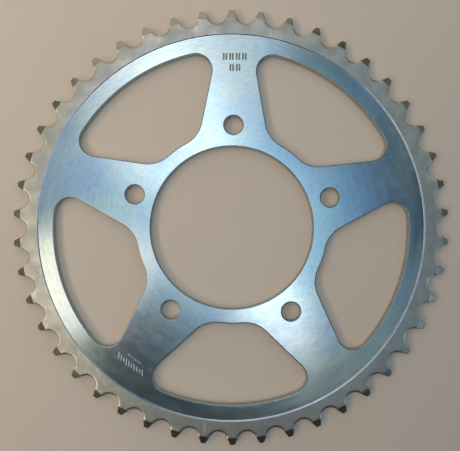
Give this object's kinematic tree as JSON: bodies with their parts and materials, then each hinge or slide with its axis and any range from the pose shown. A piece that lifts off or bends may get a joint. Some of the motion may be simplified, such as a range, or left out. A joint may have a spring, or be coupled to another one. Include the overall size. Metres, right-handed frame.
{
  "type": "rear sprocket",
  "caption": "Flat steel rear sprocket for a roller chain: toothed rim, thinner faced web with lightening windows between tapered spokes, wide spigot bore and bolt holes.",
  "frame": {"origin": "on the sprocket's axis, at the back face of the toothed rim", "axes": "+Z along the sprocket's axis, out of the front face; +Y through the middle of a tooth; +X completes the right hand"},
  "size_m": [0.2374, 0.2378, 0.0059],
  "materials": {
    "zinc_plated_steel": "bright zinc plating: satin turned web, matte rim"
  },
  "bodies": {
    "root": {"sprocket_plate": "zinc_plated_steel"}
  },
  "joints": []
}
